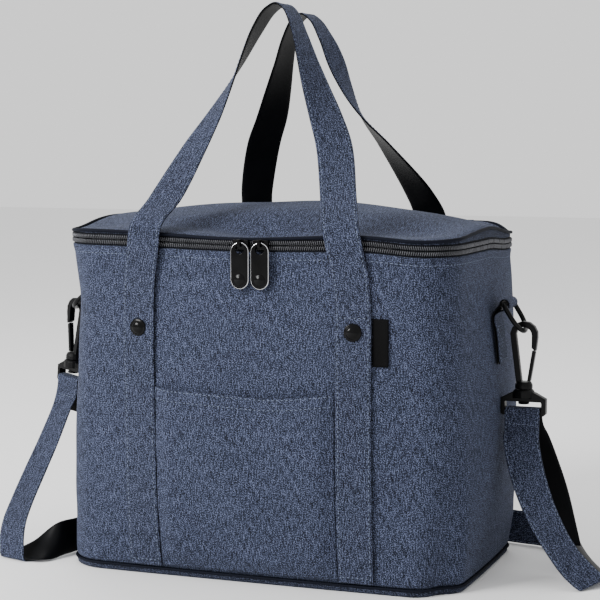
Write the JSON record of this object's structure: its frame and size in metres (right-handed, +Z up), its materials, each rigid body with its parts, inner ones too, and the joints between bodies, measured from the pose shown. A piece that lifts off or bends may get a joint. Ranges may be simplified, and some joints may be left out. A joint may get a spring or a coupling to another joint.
{
  "type": "insulated cooler bag",
  "caption": "Soft insulated cooler bag with a zipped vaulted lid, two webbing handles, a patch pocket and a shoulder strap clipped to side rings by snap hooks.",
  "frame": {"origin": "centre of the flat underside of the base, on the surface the bag stands on", "axes": "+Z up, -Y towards the front with the pocket and the zip pullers, +X towards the right hook as seen from the front"},
  "size_m": [0.5665, 0.2987, 0.5136],
  "materials": {
    "heather_fabric": "blue-grey heather weave, matt",
    "webbing": "blue-grey heather outer face, black lining",
    "binding": "dark navy bound cord",
    "foam": "closed-cell white foam",
    "foil_liner": "silver-grey coated liner, slight sheen",
    "base_board": "plain board",
    "zip_tape": "black woven tape",
    "zip_coil": "dark nylon coil with a slight shine",
    "black_plastic": "black moulded plastic, half gloss",
    "black_enamel": "black enamel on a bright metal rim",
    "label": "black woven label, blank"
  },
  "bodies": {
    "bag": {"outer_shell": "heather_fabric", "base_panel": "heather_fabric", "lid_hinge_strip": "heather_fabric", "front_pocket": "heather_fabric", "front_strap_left": "webbing", "front_strap_right": "webbing", "rear_strap_left": "webbing", "rear_strap_right": "webbing", "side_tab_left": "webbing", "side_tab_right": "webbing", "shoulder_strap_left": "webbing", "shoulder_strap_back": "webbing", "shoulder_strap_right": "webbing", "shoulder_strap_tail": "webbing", "base_piping": "binding", "foam_wall": "foam", "foam_base": "foam", "inner_liner": "foil_liner", "base_board": "base_board", "zipper_tape_lower": "zip_tape", "zipper_chain_lower": "zip_coil", "rivet_front_left": "black_plastic", "rivet_front_right": "black_plastic", "rivet_rear_left": "black_plastic", "rivet_rear_right": "black_plastic", "swivel_base_left": "black_plastic", "swivel_base_right": "black_plastic", "strap_adjuster": "black_plastic", "label_tag": "label"},
    "lid": {"lid_cover": "heather_fabric", "lid_foam": "foam", "lid_liner": "foil_liner", "lid_piping": "binding", "zipper_tape_upper": "zip_tape", "zipper_chain_upper": "zip_coil"},
    "front_handle": {"front_handle": "webbing"},
    "rear_handle": {"rear_handle": "webbing"},
    "slider_left": {"slider_left": "black_enamel"},
    "slider_right": {"slider_right": "black_enamel"},
    "pull_tab_left": {"pull_tab_left": "black_enamel"},
    "pull_tab_right": {"pull_tab_right": "black_enamel"},
    "d_ring_left": {"d_ring_left": "black_plastic"},
    "d_ring_right": {"d_ring_right": "black_plastic"},
    "hook_left": {"hook_left": "black_plastic"},
    "hook_right": {"hook_right": "black_plastic"},
    "gate_left": {"gate_left": "black_plastic"},
    "gate_right": {"gate_right": "black_plastic"}
  },
  "joints": [
    {"name": "lid_hinge", "type": "hinge", "parent": "bag", "child": "lid", "pos_m": [0, 0.1253, 0.3022], "axis": [-1, 0, 0], "range_deg": [0, 75]},
    {"name": "front_handle_fold", "type": "hinge", "parent": "bag", "child": "front_handle", "pos_m": [0, -0.1319, 0.2432], "axis": [1, 0, 0], "range_deg": [0, 150]},
    {"name": "rear_handle_fold", "type": "hinge", "parent": "bag", "child": "rear_handle", "pos_m": [0, 0.1266, 0.2432], "axis": [-1, 0, 0], "range_deg": [0, 150]},
    {"name": "slider_left_slide", "type": "slide", "parent": "bag", "child": "slider_left", "axis": [-1, 0, 0], "range_m": [0, 0.055]},
    {"name": "slider_right_slide", "type": "slide", "parent": "bag", "child": "slider_right", "axis": [1, 0, 0], "range_m": [0, 0.044]},
    {"name": "pull_tab_left_swing", "type": "hinge", "parent": "slider_left", "child": "pull_tab_left", "pos_m": [0, -0.1374, 0.3035], "axis": [-1, 0, 0], "range_deg": [0, 150]},
    {"name": "pull_tab_right_swing", "type": "hinge", "parent": "slider_right", "child": "pull_tab_right", "pos_m": [0.0185, -0.1374, 0.3035], "axis": [-1, 0, 0], "range_deg": [0, 150]},
    {"name": "d_ring_left_swing", "type": "hinge", "parent": "bag", "child": "d_ring_left", "pos_m": [-0.204, -0.004, 0.246], "axis": [0, -1, 0], "range_deg": [0, 2.5]},
    {"name": "d_ring_right_swing", "type": "hinge", "parent": "bag", "child": "d_ring_right", "pos_m": [0.204, -0.004, 0.246], "axis": [0, 1, 0], "range_deg": [0, 6]},
    {"name": "hook_left_swivel", "type": "hinge", "parent": "bag", "child": "hook_left", "pos_m": [-0.23047, -0.004, 0.17302], "axis": [0.0872, 0, 0.9962], "range_deg": [0, 30]},
    {"name": "hook_right_swivel", "type": "hinge", "parent": "bag", "child": "hook_right", "pos_m": [0.219, -0.004, 0.167], "axis": [0, 0, 1], "range_deg": [-15, 15]},
    {"name": "gate_left_spring", "type": "hinge", "parent": "hook_left", "child": "gate_left", "pos_m": [-0.2339, -0.00194, 0.18235], "axis": [0.4367, 0.8988, -0.0382], "range_deg": [0, 12], "stiffness_Nm_per_rad": 0.02, "springref_deg": -11.46},
    {"name": "gate_right_spring", "type": "hinge", "parent": "hook_right", "child": "gate_right", "pos_m": [0.2237, -0.004, 0.176], "axis": [0, -1, 0], "range_deg": [0, 12], "stiffness_Nm_per_rad": 0.02, "springref_deg": -11.46}
  ],
  "couplings": [
    {"joint": "front_handle_fold", "follows": "lid_hinge", "ratio": 2},
    {"joint": "rear_handle_fold", "follows": "lid_hinge", "ratio": 2}
  ]
}
